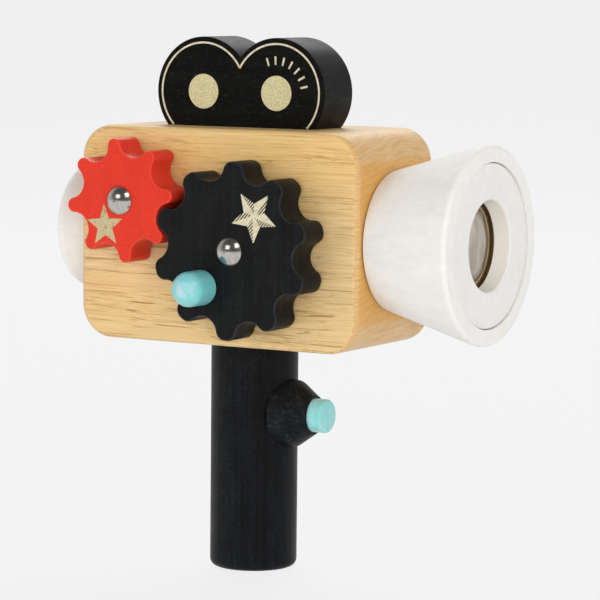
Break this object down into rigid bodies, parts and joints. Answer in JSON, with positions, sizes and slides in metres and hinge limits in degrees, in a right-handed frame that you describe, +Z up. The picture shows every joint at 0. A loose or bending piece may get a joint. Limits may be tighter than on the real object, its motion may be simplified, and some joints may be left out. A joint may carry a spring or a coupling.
{
  "type": "toy film camera",
  "caption": "Wooden toy film camera on a round handle: a knob turns two meshing cogs, a sprung button pushes in, and an eyepiece looks through the body to a faceted lens.",
  "frame": {"origin": "middle of the flat foot of the handle", "axes": "+X is the way the lens looks, -Y is the side with the cogs, +Z is up the handle"},
  "size_m": [0.1584, 0.0867, 0.1824],
  "materials": {
    "natural_wood": "clear satin lacquer over straight grain",
    "black_paint": "satin black paint on wood, grain just showing",
    "white_paint": "satin white paint on wood",
    "red_paint": "satin red paint on wood",
    "turquoise_paint": "satin turquoise paint on wood",
    "bare_wood": "bare wood",
    "bright_steel": "polished",
    "spring_steel": "drawn wire",
    "clear_plastic": "clear moulded acrylic"
  },
  "bodies": {
    "camera": {"body_block": "natural_wood", "film_magazine": "black_paint", "magazine_dowel_front": "bare_wood", "magazine_dowel_rear": "bare_wood", "handle_grip": "black_paint", "button_collar": "black_paint", "button_spring": "spring_steel", "large_cog_pin": "bright_steel", "large_cog_washer": "bright_steel", "small_cog_pin": "bright_steel", "small_cog_washer": "bright_steel", "lens_barrel": "white_paint", "lens_ring": "white_paint", "lens_spacer": "bare_wood", "prism_lens": "clear_plastic", "eyepiece_cup": "white_paint"},
    "large_cog": {"large_cog": "black_paint", "crank_knob": "turquoise_paint"},
    "small_cog": {"small_cog": "red_paint"},
    "button": {"push_button": "turquoise_paint"}
  },
  "joints": [
    {"name": "large_cog_turn", "type": "hinge", "parent": "camera", "child": "large_cog", "pos_m": [0.0138, 0, 0.1125], "axis": [0, 1, 0], "continuous": true},
    {"name": "small_cog_turn", "type": "hinge", "parent": "camera", "child": "small_cog", "pos_m": [-0.0296, 0, 0.12744], "axis": [0, 1, 0], "continuous": true},
    {"name": "button_press", "type": "slide", "parent": "camera", "child": "button", "axis": [-1, 0, 0], "range_m": [0, 0.003], "stiffness_N_per_m": 300, "springref_m": -0.003, "deforming": ["button_spring"]}
  ],
  "couplings": [
    {"joint": "small_cog_turn", "follows": "large_cog_turn", "ratio": -1.25}
  ]
}
